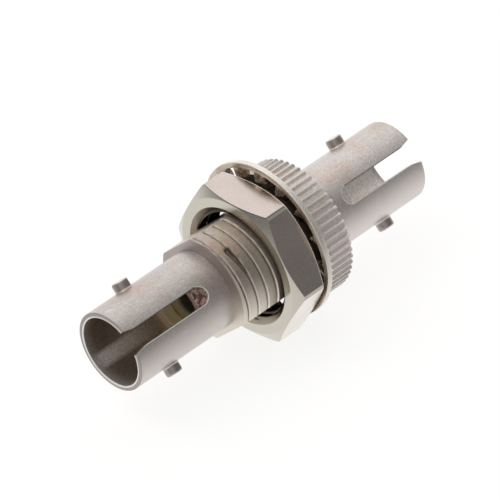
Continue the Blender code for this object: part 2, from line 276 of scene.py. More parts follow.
def satin_nickel(
    name, tones, rough_range, painted_underside_light, bore_tones=("#96877B", "#C9B8A9"), bore_depth=1.0, bore_metal=0.75,
    bare_lip=True,
):
    """Nickel plate on brass, satin from tumbling: warm grey, finely grained, pink where it is thin."""
    material, tree, in_mm, along, across, radius = metal_places(name, AXIS_HEIGHT)
    depth = maths(tree, "SUBTRACT", MOUTH, maths(tree, "ABSOLUTE", along))
    outward = add(tree, "ShaderNodeVectorMath", {0: across}, operation="NORMALIZE")
    sideways = dot(tree, across, BODY_AXIS.to_3x3().col[1])
    upward = dot(tree, across, BODY_AXIS.to_3x3().col[2])

    # Patches of 3 to 6 mm where the plate leans to pink or to olive, grain of 0.15 mm and a few nicks
    pink = add(tree, "ShaderNodeTexNoise", {"Vector": in_mm, "Scale": 0.30, "Detail": 2.0})
    olive = add(tree, "ShaderNodeTexNoise", {
        "Vector": in_mm, "Scale": 0.22, "Detail": 1.0, "Distortion": 0.6,
    })
    grain = add(tree, "ShaderNodeTexNoise", {"Vector": in_mm, "Scale": 5.5, "Detail": 4.0, "Roughness": 0.65})
    plate = blend(tree, ramp(tree, pink, 0.50, 0.68), tones[0], tones[1])
    plate = blend(tree, ramp(tree, olive, 0.52, 0.70), plate, tones[2])
    plate = scaled(tree, plate, ramp(tree, grain, 0.27, 0.73, 0.74, 1.20))
    drawn_out = add(tree, "ShaderNodeVectorMath", {0: in_mm, 1: (0.5, 3.2, 1.4)}, operation="MULTIPLY")
    nick = add(tree, "ShaderNodeTexNoise", {"Vector": drawn_out, "Scale": 1.0, "Detail": 1.0})
    plate = scaled(tree, plate, ramp(tree, nick, 0.70, 0.74, 1.0, 1.22))
    # The side turned to the floor takes the underside tone: painted light from the white floor
    below = ramp(tree, dot(tree, outward, (0.0, -0.6, -0.8)), -0.2, 0.7)
    plate = blend(tree, below, plate, painted_underside_light)

    # Inside the bore the plate takes the bore tones, lighter from 2 to 5 mm in, and one painted lit streak
    # runs along its bottom: painted light from the mouth
    inside = ramp(tree, radius, BORE + 0.08, BORE + 0.02)
    bore_tinted = times(tree, inside, ramp(tree, depth, 0.05, bore_depth))
    to_lit_streak = dot(tree, outward, (0.0, 0.65, -0.76))
    painted_lit_streak = times(tree, ramp(tree, to_lit_streak, 0.965, 0.992), ramp(tree, depth, 7.0, 4.0))
    brown = blend(tree, ramp(tree, depth, 2.0, 5.0), bore_tones[0], bore_tones[1])
    brown = blend(tree, painted_lit_streak, brown, "#FBF2EC")
    brown = scaled(tree, brown, ramp(tree, grain, 0.35, 0.70, 0.80, 1.30))
    plate = blend(tree, bore_tinted, plate, brown)

    # The lip is bare olive brass, speckled red where the mill went through it at the slot's end
    behind = ramp(tree, depth, BORE_DEPTH - 0.10, BORE_DEPTH + 0.04)
    ahead = ramp(tree, depth, LIP_DEPTH + 0.12, LIP_DEPTH + 0.06)
    under = ramp(tree, radius, BARREL - 0.10, BARREL - 0.16)
    bare = times(tree, behind, ahead, under, float(bare_lip))
    speckle = add(tree, "ShaderNodeTexNoise", {"Vector": in_mm, "Scale": 3.2, "Detail": 2.0})
    red = blend(tree, ramp(tree, speckle, 0.42, 0.56), "#6B4F45", "#CFB4A8")
    brass = blend(tree, ramp(tree, upward, 2.2, 2.3), "#FBEFC8", red)
    plate = blend(tree, bare, plate, brass)

    # Tumbled plate scatters a fifth of the light, the plate in the bore a little more, the oxidised lip all
    # of it
    metallic = ramp(tree, bore_tinted, 0.0, 1.0, 0.82, bore_metal)
    metallic = ramp(tree, bare, 0.0, 1.0, metallic, 0.0)

    # Under the nut and up to the flange the metal is painted dark brown: painted shade of the gap between nut
    # and flange
    under_nut = ramp(tree, along, -1.4, 1.1)
    before_rim = ramp(tree, along, FLANGE_FRONT + 0.03, FLANGE_FRONT + 0.01)
    painted_gap_shade = times(tree, under_nut, before_rim, ramp(tree, radius, BARREL - 0.20, BARREL - 0.10))
    plate = blend(tree, painted_gap_shade, plate, "#5F5145")

    # Along the thread's groove the crests' edges carry a painted highlight and the groove's bottom a painted
    # shade
    off_flat = ramp(tree, maths(tree, "ABSOLUTE", sideways), FLAT - 0.04, FLAT - 0.09)
    outside_gap_shade = maths(tree, "SUBTRACT", 1.0, painted_gap_shade)
    past_bevel = ramp(tree, along, SHOULDER + 0.21, SHOULDER + 0.25)
    threaded = times(tree, past_bevel, before_rim, off_flat, outside_gap_shade)
    for tone, start, full in (("#E8E0D6", 0.005, 0.03), ("#8E8175", 0.08, 0.13)):
        in_groove = times(tree, ramp(tree, radius, CREST - start, CREST - full), threaded)
        plate = blend(tree, in_groove, plate, tone)

    # The shoulder's face on its upper half is painted greyer as painted shade, and the lugs' sides and the
    # outer half of the mouth's rim are greyer too
    near_lug = ramp(tree, depth, LUG_DEPTH + 1.0, LUG_DEPTH + 0.9)
    lug = times(tree, ramp(tree, radius, BARREL + 0.04, BARREL + 0.16), near_lug)
    above = ramp(tree, below, 0.75, 0.25)
    to_step = maths(tree, "SUBTRACT", depth, SHOULDER + MOUTH)
    step_face = times(tree, ramp(tree, to_step, 0.05, 0.02), ramp(tree, to_step, -0.05, -0.01), above)
    mouth = ramp(tree, depth, 0.10, 0.05)
    rim = times(tree, ramp(tree, radius, BORE + 0.11, BORE + 0.17), mouth)
    greyer = maths(tree, "MAXIMUM", maths(tree, "MAXIMUM", lug, step_face), rim)
    plate = blend(tree, greyer, plate, "#A79D98")

    # Lug tips, the rim's inner edge, the slot's edge and the flange's ridges are painted bright: painted
    # highlights, partly rubbed wear
    rubbed_and_highlit = times(tree, ramp(tree, radius, LUG_TIP - 0.10, LUG_TIP), near_lug)
    ridge = ramp(tree, radius, FLANGE - 0.08, FLANGE - 0.02)
    inner_rim = times(tree, mouth, ramp(tree, radius, BORE + 0.15, BORE + 0.09))
    past = maths(tree, "SUBTRACT", depth, SLOT_LENGTH - SLOT_WIDTH / 2)
    past = maths(tree, "MAXIMUM", past, 0.0)
    from_slot = add(tree, "ShaderNodeCombineXYZ", {0: past, 1: sideways})
    from_slot = add(tree, "ShaderNodeVectorMath", {0: from_slot}, operation="LENGTH").outputs["Value"]
    off_edge = maths(tree, "ABSOLUTE", maths(tree, "SUBTRACT", from_slot, SLOT_WIDTH / 2 + 0.03))
    outer = ramp(tree, upward, BARREL - 0.16, BARREL - 0.14)
    slot_edge = times(tree, ramp(tree, off_edge, 0.06, 0.04), outer)
    for part in (ridge, inner_rim, slot_edge):
        rubbed_and_highlit = maths(tree, "MAXIMUM", rubbed_and_highlit, part)

    # One long edge of the slot gets a dark line instead: a painted shadow along that edge
    straight = ramp(tree, past, 0.15, 0.0)
    painted_edge_shadow = times(tree, ramp(tree, sideways, 0.55, 0.65), straight, slot_edge)
    edge = blend(tree, painted_edge_shadow, "#EDE8E2", "#7A6E67")
    plate = blend(tree, rubbed_and_highlit, plate, edge)

    # Roughness wanders with the grain, and the grain stands a few microns proud
    rough = ramp(tree, grain, 0.3, 0.7, rough_range[0], rough_range[1])
    relief = add(tree, "ShaderNodeBump", {"Height": grain, "Strength": 0.35, "Distance": 0.012 * MM})
    feed(tree, tree.nodes["Principled BSDF"], {
        "Base Color": plate, "Metallic": metallic, "Roughness": rough, "Normal": relief,
    })
    return material


front_nickel = satin_nickel(
    "satin_nickel_front", ("#CEC6C1", "#CBBBB3", "#C1BBAE"), (0.38, 0.50), "#CEC6C1",
)
core = 3.20
core_start = SHOULDER + 0.25
core_end = FLANGE_FRONT - 0.05
front_end = [
    (core_end, SLEEVE_SEAT, 0.0), (core_end, core, 0.0), (core_start, core, 0.0), (core_start, BARREL, 0.0),
]
front_barrel = finished("front_barrel", barrel_tube(front_end), BODY_AXIS, front_nickel)
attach(front_barrel, "adapter")
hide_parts("front_body")


# Threaded shank
# Goes through the panel. A die cuts the thread with wide flat crests and narrow grooves, and two
# milled flats key the shank in a double-D hole. The shoulder towards the barrel is a plain face.

PITCH = 1.058
# In turns of the thread: where a groove crosses the middle, and where the die first bit in
THREAD_PHASE = 0.06
POCKET = -4.82


def rule_tree(name, numbers):
    """A new node tree with named number inputs, a finish and one mesh as its output."""
    tree = bpy.data.node_groups.new(name, "GeometryNodeTree")
    for number in numbers:
        tree.interface.new_socket(name=number, in_out="INPUT", socket_type="NodeSocketFloat")
    for count in ("Rows", "Columns"):
        tree.interface.new_socket(name=count, in_out="INPUT", socket_type="NodeSocketInt")
    tree.interface.new_socket(name="Finish", in_out="INPUT", socket_type="NodeSocketMaterial")
    tree.interface.new_socket(name="Piece", in_out="OUTPUT", socket_type="NodeSocketGeometry")
    return tree, add(tree, "NodeGroupInput").outputs


def sheet_to_wrap(tree, given):
    """A flat grid whose rows run along the axis and whose columns go once round it."""
    grid = add(tree, "GeometryNodeMeshGrid", {
        "Size X": 1.0, "Size Y": math.tau, "Vertices X": given["Rows"], "Vertices Y": given["Columns"],
    })
    at = add(tree, "ShaderNodeSeparateXYZ", {0: add(tree, "GeometryNodeInputPosition")})
    place = maths(tree, "ADD", at.outputs[0], 0.5)
    steps = maths(tree, "SUBTRACT", given["Rows"], 1.0)
    row = maths(tree, "MULTIPLY", place, steps)
    end_row = maths(tree, "SUBTRACT", steps, 2.0)
    run = ramp(tree, row, 1.0, end_row, given["Start"], given["End"])
    return grid, maths(tree, "SUBTRACT", steps, row), at.outputs[1], run


def wrap_round(tree, given, grid, rows_left, angle, run, wall):
    """Bends the grid to a closed tube. Its first row and last two make the ends and the plain other wall."""
    first = maths(tree, "GREATER_THAN", rows_left, maths(tree, "SUBTRACT", given["Rows"], 1.5))
    last = maths(tree, "LESS_THAN", rows_left, 1.5)
    closing = maths(tree, "LESS_THAN", rows_left, 0.5)
    along = add(tree, "ShaderNodeMix", {0: closing, 2: run, 3: given["Start"]}, data_type="FLOAT")
    ends = maths(tree, "MAXIMUM", first, last)
    radius = add(tree, "ShaderNodeMix", {0: ends, 2: wall, 3: given["Other wall"]}, data_type="FLOAT")
    across = maths(tree, "MULTIPLY", radius, maths(tree, "COSINE", angle))
    rise = maths(tree, "MULTIPLY", radius, maths(tree, "SINE", angle))
    bent = add(tree, "ShaderNodeCombineXYZ", {0: along, 1: across, 2: rise})
    tube = add(tree, "GeometryNodeSetPosition", {"Geometry": grid, "Position": bent})
    tube = add(tree, "GeometryNodeMergeByDistance", {"Geometry": tube, "Distance": 0.0005})
    tube = add(tree, "GeometryNodeRealizeInstances", {0: tube})
    tube = add(tree, "GeometryNodeSetMaterial", {"Geometry": tube, "Material": given["Finish"]})
    add(tree, "NodeGroupOutput", {0: tube})
    return tree


def threaded_tube():
    """A tube with two flats, a bevel and a helical groove outside, or a helical rib inside."""
    tree, given = rule_tree("threaded_tube", (
        "Start", "End", "Other wall", "Crest", "Rib", "Half width", "Pitch", "Phase",
        "Flat", "Flat turn", "Bevel", "Pocket",
    ))
    grid, rows_left, angle, run = sheet_to_wrap(tree, given)

    # How far a point is, along the axis, before or behind the middle of the nearest groove
    turns = maths(tree, "DIVIDE", angle, math.tau)
    leads = maths(tree, "DIVIDE", run, given["Pitch"])
    wound = maths(tree, "SUBTRACT", maths(tree, "SUBTRACT", leads, turns), given["Phase"])
    off = maths(tree, "FRACT", wound)
    behind = maths(tree, "SUBTRACT", off, 0.5)
    before = maths(tree, "SUBTRACT", 0.5, off)

    # The tool bites in at one place: a deeper pocket, wide to the front, that closes in a tenth of a turn
    made = maths(tree, "ADD", maths(tree, "FLOOR", wound), turns)
    since = maths(tree, "SUBTRACT", made, given["Pocket"])
    bite = ramp(tree, since, -0.006, 0.004, interpolation_type="SMOOTHSTEP")
    pocket = maths(tree, "MULTIPLY", bite, ramp(tree, since, 0.015, 0.105, 1.0, 0.0))
    swell = maths(tree, "MULTIPLY_ADD", pocket, 2.4, 1.0)
    deeper = maths(tree, "MULTIPLY_ADD", pocket, 1.6, 1.0)
    off = maths(tree, "MAXIMUM", behind, maths(tree, "DIVIDE", before, swell))
    off = maths(tree, "MULTIPLY", off, given["Pitch"])
    core = maths(tree, "MULTIPLY", given["Half width"], 0.2)
    cut = ramp(tree, off, given["Half width"], core, interpolation_type="SMOOTHSTEP")
    cut = times(tree, cut, deeper, given["Rib"])
    wall = maths(tree, "SUBTRACT", given["Crest"], cut)

    # Two flats across the thread, and a bevel at the tube's start
    slant = maths(tree, "COSINE", maths(tree, "SUBTRACT", angle, given["Flat turn"]))
    slant = maths(tree, "MAXIMUM", maths(tree, "ABSOLUTE", slant), 0.001)
    wall = maths(tree, "MINIMUM", wall, maths(tree, "DIVIDE", given["Flat"], slant))
    past = maths(tree, "SUBTRACT", run, given["Start"])
    wall = maths(tree, "MINIMUM", wall, maths(tree, "ADD", given["Bevel"], past))
    return wrap_round(tree, given, grid, rows_left, angle, run, wall)


def grown(name, tree, start_mesh=None, **values):
    """Runs a node tree with the given inputs and returns what it makes as a plain bmesh."""
    carrier = bpy.data.objects.new(name, start_mesh or bpy.data.meshes.new(name))
    bpy.context.scene.collection.objects.link(carrier)
    nodes = carrier.modifiers.new(name, "NODES")
    nodes.node_group = tree
    for item in tree.interface.items_tree:
        key = item.name.replace(" ", "_").lower()
        if item.in_out == "INPUT" and key in values:
            nodes[item.identifier] = values[key]
    mesh = bpy.data.meshes.new_from_object(carrier.evaluated_get(bpy.context.evaluated_depsgraph_get()))
    bpy.data.objects.remove(carrier, do_unlink=True)
    bm = bmesh.new()
    bm.from_mesh(mesh)
    bpy.data.meshes.remove(mesh)
    bmesh.ops.recalc_face_normals(bm, faces=bm.faces)
    return bm


# Its underside tone is lighter than its plate: painted light from the floor below
shank_nickel = satin_nickel(
    "satin_nickel_shank", ("#BDB1A5", "#B9A292", "#B3AA98"), (0.33, 0.45), "#D9D0C4",
)
thread_tree = threaded_tube()
shank_mesh = grown(
    "shank", thread_tree, start=SHOULDER, end=FLANGE_FRONT + 0.1, other_wall=2.9, crest=CREST, rib=0.16,
    half_width=0.16, pitch=PITCH, phase=THREAD_PHASE, flat=FLAT, flat_turn=math.radians(-1.5),
    bevel=CREST - 0.20, pocket=POCKET, rows=250, columns=361, finish=shank_nickel,
)
threaded_shank = finished("threaded_shank", shank_mesh, BODY_AXIS, shank_nickel, crease=42.0)
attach(threaded_shank, "adapter")
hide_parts("front_body")


# Flange
# The grip of the adapter and its stop on the panel, one with the shank. Its rim is fluted with a
# form tool, so each groove starts round behind a plain land and runs out through the back face.

FLANGE_BACK = 21.25 - MOUTH
FLUTES = 56


def fluted_rim():
    """A ring whose rim has straight grooves, each with a round start and open at the back."""
    tree, given = rule_tree("fluted_rim", (
        "Start", "End", "Other wall", "Radius", "Depth", "Flutes", "Land", "Half share", "Bevel",
    ))
    grid, rows_left, angle, run = sheet_to_wrap(tree, given)
    turns = maths(tree, "DIVIDE", angle, math.tau)
    off = maths(tree, "FRACT", maths(tree, "MULTIPLY", turns, given["Flutes"]))
    off = maths(tree, "ABSOLUTE", maths(tree, "SUBTRACT", off, 0.5))
    floor = maths(tree, "MULTIPLY", given["Half share"], 0.62)
    cut = ramp(tree, off, given["Half share"], floor, interpolation_type="SMOOTHSTEP")
    nose = maths(tree, "MULTIPLY", maths(tree, "POWER", off, 2.0), 1.6)
    past = maths(tree, "SUBTRACT", run, given["Start"])
    behind = maths(tree, "SUBTRACT", maths(tree, "SUBTRACT", past, given["Land"]), nose)
    cut = times(tree, cut, ramp(tree, behind, 0.0, 0.16, interpolation_type="SMOOTHSTEP"), given["Depth"])
    wall = maths(tree, "SUBTRACT", given["Radius"], cut)
    inner = maths(tree, "SUBTRACT", given["Radius"], given["Bevel"])
    left = maths(tree, "SUBTRACT", given["End"], run)
    wall = maths(tree, "MINIMUM", wall, maths(tree, "ADD", past, inner))
    wall = maths(tree, "MINIMUM", wall, maths(tree, "ADD", left, inner))
    return wrap_round(tree, given, grid, rows_left, angle, run, wall)


flange_nickel = satin_nickel(
    "satin_nickel_flange", ("#F0E6E2", "#EADAD3", "#E5DDD4"), (0.48, 0.60), "#EFE5E1",
)
rim_mesh = grown(
    "rim", fluted_rim(), start=FLANGE_FRONT, end=FLANGE_BACK, other_wall=BARREL + 0.03, radius=FLANGE,
    depth=0.24, flutes=float(FLUTES), land=0.12, half_share=0.43, bevel=0.10, rows=56,
    columns=FLUTES * 18 + 1, finish=flange_nickel,
)
fluted_flange = finished("fluted_flange", rim_mesh, BODY_AXIS, flange_nickel)
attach(fluted_flange, "adapter")
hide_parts("front_body")


# Rear barrel
# The second port, turned on its own and pressed into the flange, so that both barrels can trap the
# sleeve's holder between them. Its slot and lugs are those of the front barrel, its plate is paler.

SPIGOT_END = 13.40 - MOUTH

# The rear bore's tones are near white: painted light, for the light bouncing inside the open tube
rear_nickel = satin_nickel(
    "satin_nickel_rear", ("#DAD2CD", "#D7C5BD", "#CCC6B8"), (0.38, 0.50), "#D8D0CB",
    bore_tones=("#F8EDE6", "#F8EDE6"), bore_depth=0.6, bore_metal=0.8, bare_lip=False,
)
rear_end = [(SPIGOT_END, SLEEVE_SEAT, 0.0), (SPIGOT_END, BARREL, 0.10)]
rear_mesh = barrel_tube(rear_end)
rear_mesh.transform(Matrix.Scale(-1, 4, (1, 0, 0)))
bmesh.ops.reverse_faces(rear_mesh, faces=rear_mesh.faces)
rear_barrel = finished("rear_barrel", rear_mesh, BODY_AXIS, rear_nickel)
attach(rear_barrel, "adapter")
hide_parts("rear_body")


# Sleeve and holder
# Two turned brass cups meet at the middle and hold a split sleeve of phosphor bronze strip, which
# grips both ferrules. The cups are left unplated, so they are dull and olive behind the slot.

HOLDER = 2.60
CAVITY = 1.70
FERRULE_HOLE = 1.30
CUP_FRONT = 8.41 - MOUTH
CAVITY_FRONT = -5.80
CUP_MIDDLE = -0.025
SLEEVE_END = 5.70
SLEEVE_BORE = 1.25
SLEEVE = 1.60
SLIT = 0.50


def dull_metal(name, tone, stain, metallic, rough, lines_per_mm):
    """Unplated copper alloy with fine turning or rolling lines round the axis and darker oxide spots."""
    material, tree, in_mm, along, _, radius = metal_places(name, AXIS_HEIGHT)
    both = times(tree, maths(tree, "ADD", along, radius), lines_per_mm)
    lines = add(tree, "ShaderNodeTexNoise", {"W": both, "Scale": 1.0, "Detail": 2.0}, noise_dimensions="1D")
    spots = add(tree, "ShaderNodeTexNoise", {"Vector": in_mm, "Scale": 0.8, "Detail": 3.0})
    colour = blend(tree, ramp(tree, spots, 0.40, 0.66), tone, stain)
    # Towards the ferrule hole, and on the sleeve's inside, the colour falls to three tenths: painted shade in
    # the hole
    painted_recess_shade = ramp(tree, radius, FERRULE_HOLE + 0.05, FERRULE_HOLE + 0.25, 0.30, 1.0)
    colour = scaled(tree, colour, times(tree, ramp(tree, lines, 0.3, 0.7, 0.85, 1.1), painted_recess_shade))
    roughness = ramp(tree, lines, 0.3, 0.7, rough, rough + 0.12)
    relief = add(tree, "ShaderNodeBump", {"Height": lines, "Strength": 0.3, "Distance": 0.01 * MM})
    feed(tree, tree.nodes["Principled BSDF"], {
        "Base Color": colour, "Metallic": metallic, "Roughness": roughness, "Normal": relief,
    })
    return material


dull_brass = dull_metal("dull_turned_brass", "#D6C8A2", "#B5A882", 0.15, 0.42, 9.0)
for name, node, turn in (
    ("holder_front", "sleeve_holder_front", 0.0), ("holder_rear", "sleeve_holder_rear", math.pi),
):
    cup = turned([
        (CUP_FRONT, FERRULE_HOLE + 0.25, 0.0), (CUP_FRONT + 0.25, FERRULE_HOLE, 0.0),
        (CAVITY_FRONT, FERRULE_HOLE, 0.0), (CAVITY_FRONT, CAVITY, 0.05), (CUP_MIDDLE, CAVITY, 0.06),
        (CUP_MIDDLE, HOLDER, 0.10), (CUP_FRONT, HOLDER, 0.12),
    ], columns=120)
    cup.transform(Matrix.Rotation(turn, 4, "Z"))
    holder = finished(name, cup, BODY_AXIS, dull_brass)
    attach(holder, "adapter")
    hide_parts(node)

bronze = dull_metal("rolled_phosphor_bronze", "#B98A66", "#8F6244", 1.0, 0.30, 6.0)
sleeve_bm = bmesh.new()
slit = math.asin(SLIT / 2 / SLEEVE_BORE)
steps = 90
turns = [slit + (math.tau - 2 * slit) * k / steps for k in range(steps + 1)]
ends = []
for along, ease in (
    (-SLEEVE_END, 0.04), (0.04 - SLEEVE_END, 0.0), (SLEEVE_END - 0.04, 0.0), (SLEEVE_END, 0.04),
):
    ring = [(SLEEVE_BORE + ease, a) for a in turns] + [(SLEEVE - ease, a) for a in reversed(turns)]
    ends.append([sleeve_bm.verts.new((along, r * math.cos(a), r * math.sin(a))) for r, a in ring])
for ring, after in zip(ends, ends[1:]):
    for k in range(len(ring)):
        n = (k + 1) % len(ring)
        sleeve_bm.faces.new((ring[k], ring[n], after[n], after[k]))
for ring in (ends[0], ends[-1]):
    for k in range(steps):
        sleeve_bm.faces.new((ring[k], ring[k + 1], ring[2 * steps - k], ring[2 * steps + 1 - k]))
bmesh.ops.recalc_face_normals(sleeve_bm, faces=sleeve_bm.faces)
split_sleeve = finished("bronze_sleeve", sleeve_bm, BODY_AXIS, bronze)
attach(split_sleeve, "adapter")
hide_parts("split_sleeve")


# Lock washer
# Stamped from spring steel. Its inner teeth are twisted out of the ring, so that they bite into the
# nut and the panel. It lies loose between nut and flange, here with its rim on the table.

RING_BORE = 6.45
RING = 6.95
WASHER_AXIS = Matrix.Translation((0, 0, RING * MM)) @ Matrix.Rotation(math.radians(11.0), 4, "X")
WASHER_BACK = FLANGE_FRONT - 0.72
WASHER_FRONT = WASHER_BACK - 0.48
WASHER_MIDDLE = (WASHER_BACK + WASHER_FRONT) / 2


def toothed_ring():
    """The given ring with twisted teeth on its inner edge, each bent a little differently."""
    tree = bpy.data.node_groups.new("toothed_ring", "GeometryNodeTree")
    tree.interface.new_socket(name="Ring", in_out="INPUT", socket_type="NodeSocketGeometry")
    tree.interface.new_socket(name="Teeth", in_out="INPUT", socket_type="NodeSocketInt")
    for number in ("Root", "Tip", "Root width", "Tip width", "Thickness", "Twist", "Spread", "Middle"):
        tree.interface.new_socket(name=number, in_out="INPUT", socket_type="NodeSocketFloat")
    tree.interface.new_socket(name="Finish", in_out="INPUT", socket_type="NodeSocketMaterial")
    tree.interface.new_socket(name="Piece", in_out="OUTPUT", socket_type="NodeSocketGeometry")
    given = add(tree, "NodeGroupInput").outputs

    # One tooth: a plate that narrows and twists from root to tip
    plate = add(tree, "GeometryNodeMeshCube", {
        "Size": (1, 1, 1), "Vertices X": 3, "Vertices Y": 9, "Vertices Z": 7,
    })
    at = add(tree, "ShaderNodeSeparateXYZ", {0: add(tree, "GeometryNodeInputPosition")})
    out = maths(tree, "SUBTRACT", 0.5, at.outputs[1])
    reach, width = (
        add(tree, "ShaderNodeMix", {0: out, 2: given[root], 3: given[tip]}, data_type="FLOAT")
        for root, tip in (("Root", "Tip"), ("Root width", "Tip width"))
    )
    twist = times(tree, ramp(tree, out, 0.0, 0.75, interpolation_type="SMOOTHSTEP"), given["Twist"])
    thick = maths(tree, "MULTIPLY", at.outputs[0], given["Thickness"])
    aside = maths(tree, "MULTIPLY", at.outputs[2], width)
    flat = add(tree, "ShaderNodeCombineXYZ", {0: thick, 2: aside})
    bent = add(tree, "ShaderNodeVectorRotate", {"Vector": flat, "Angle": twist}, rotation_type="Y_AXIS")
    radial = add(tree, "ShaderNodeCombineXYZ", {0: given["Middle"], 1: reach})
    bent = add(tree, "ShaderNodeVectorMath", {0: bent, 1: radial}, operation="ADD")
    tooth = add(tree, "GeometryNodeSetPosition", {"Geometry": plate, "Position": bent})

    # Set round the ring, each tooth turned a few degrees more or less about its own length
    points = add(tree, "GeometryNodePoints", {"Count": given["Teeth"]})
    number = maths(tree, "ADD", add(tree, "GeometryNodeInputIndex"), 0.5)
    angle = maths(tree, "MULTIPLY", number, maths(tree, "DIVIDE", math.tau, given["Teeth"]))
    teeth = add(tree, "GeometryNodeInstanceOnPoints", {
        "Points": points, "Instance": tooth, "Rotation": add(tree, "ShaderNodeCombineXYZ", {0: angle}),
    })
    uneven = add(tree, "FunctionNodeRandomValue", {2: -1.0, 3: 1.0, "Seed": 7})
    lean = maths(tree, "MULTIPLY", uneven.outputs[1], given["Spread"])
    teeth = add(tree, "GeometryNodeRotateInstances", {
        "Instances": teeth, "Rotation": add(tree, "ShaderNodeCombineXYZ", {1: lean}),
        "Pivot Point": add(tree, "ShaderNodeCombineXYZ", {0: given["Middle"]}),
    })
    both = add(tree, "GeometryNodeJoinGeometry")
    tree.links.new(teeth.outputs[0], both.inputs[0])
    tree.links.new(given["Ring"], both.inputs[0])
    both = add(tree, "GeometryNodeRealizeInstances", {0: both})
    both = add(tree, "GeometryNodeSetMaterial", {"Geometry": both, "Material": given["Finish"]})
    add(tree, "NodeGroupOutput", {0: both})
    return tree


def spring_steel(name):
    """Plated spring steel: pale and patched on the ring, with a painted highlight on its outer edge, brown on
    the teeth and inside as painted shade of the gap.
    """
    material, tree, in_mm, _, _, radius = metal_places(name, RING)
    grain = add(tree, "ShaderNodeTexNoise", {"Vector": in_mm, "Scale": 4.0, "Detail": 4.0})
    patch = add(tree, "ShaderNodeTexNoise", {"Vector": in_mm, "Scale": 0.28, "Detail": 2.0})
    inside = ramp(tree, radius, RING_BORE + 0.05, RING_BORE - 0.09)
    scale = ramp(tree, grain, 0.42, 0.60)
    # The teeth and the inside are painted brown: painted shade of the gap between nut and flange
    dark = blend(tree, scale, "#8C7968", "#BFAE9E")
    pale = blend(tree, scale, "#D3C9BA", "#C9BDAE")
    pale = blend(tree, ramp(tree, patch, 0.46, 0.60), pale, "#A8947F")
    # The ring's outer edge is lighter: a painted highlight
    pale = blend(tree, ramp(tree, radius, RING - 0.09, RING - 0.05), pale, "#F0E9DE")
    feed(tree, tree.nodes["Principled BSDF"], {
        "Base Color": blend(tree, inside, pale, dark),
        "Metallic": ramp(tree, inside, 0.0, 1.0, 0.55, 1.0),
        "Roughness": ramp(tree, grain, 0.3, 0.7, 0.20, 0.32),
        "Normal": add(tree, "ShaderNodeBump", {"Height": grain, "Strength": 0.10, "Distance": 0.01 * MM}),
    })
    return material


washer_steel = spring_steel("plated_spring_steel")
ring_bm = turned([
    (WASHER_FRONT, RING_BORE, 0.05), (WASHER_BACK, RING_BORE, 0.05),
    (WASHER_BACK, RING, 0.07), (WASHER_FRONT, RING, 0.07),
], columns=256)
ring_mesh = bpy.data.meshes.new("ring")
ring_bm.to_mesh(ring_mesh)
ring_bm.free()
washer_mesh = grown(
    "washer", toothed_ring(), ring_mesh, teeth=16, root=RING_BORE + 0.10, tip=5.57, root_width=1.50,
    tip_width=1.05, thickness=0.38, twist=math.radians(19.0), spread=math.radians(4.0),
    middle=WASHER_MIDDLE, finish=washer_steel,
)
lock_washer = finished("toothed_washer", washer_mesh, WASHER_AXIS, washer_steel)
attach(lock_washer, "washer")
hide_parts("lock_washer")


# Nut
# Thin panel nut, milled from hexagon brass bar, chamfered on a lathe on both faces, tapped, and
# plated bright. Here it lies on one of its flats and carries the adapter.

NUT_AXIS = Matrix.Translation((0, 0, AXIS_HEIGHT * MM))
NUT_FRONT = 14.00 - MOUTH
NUT_BACK = 17.10 - MOUTH
NUT_FLAT = 6.25
NUT_BORE = 4.83
BORE_CHAMFER = 0.50
FACE = 6.15
FACE_SLOPE = math.tan(math.radians(27.0))


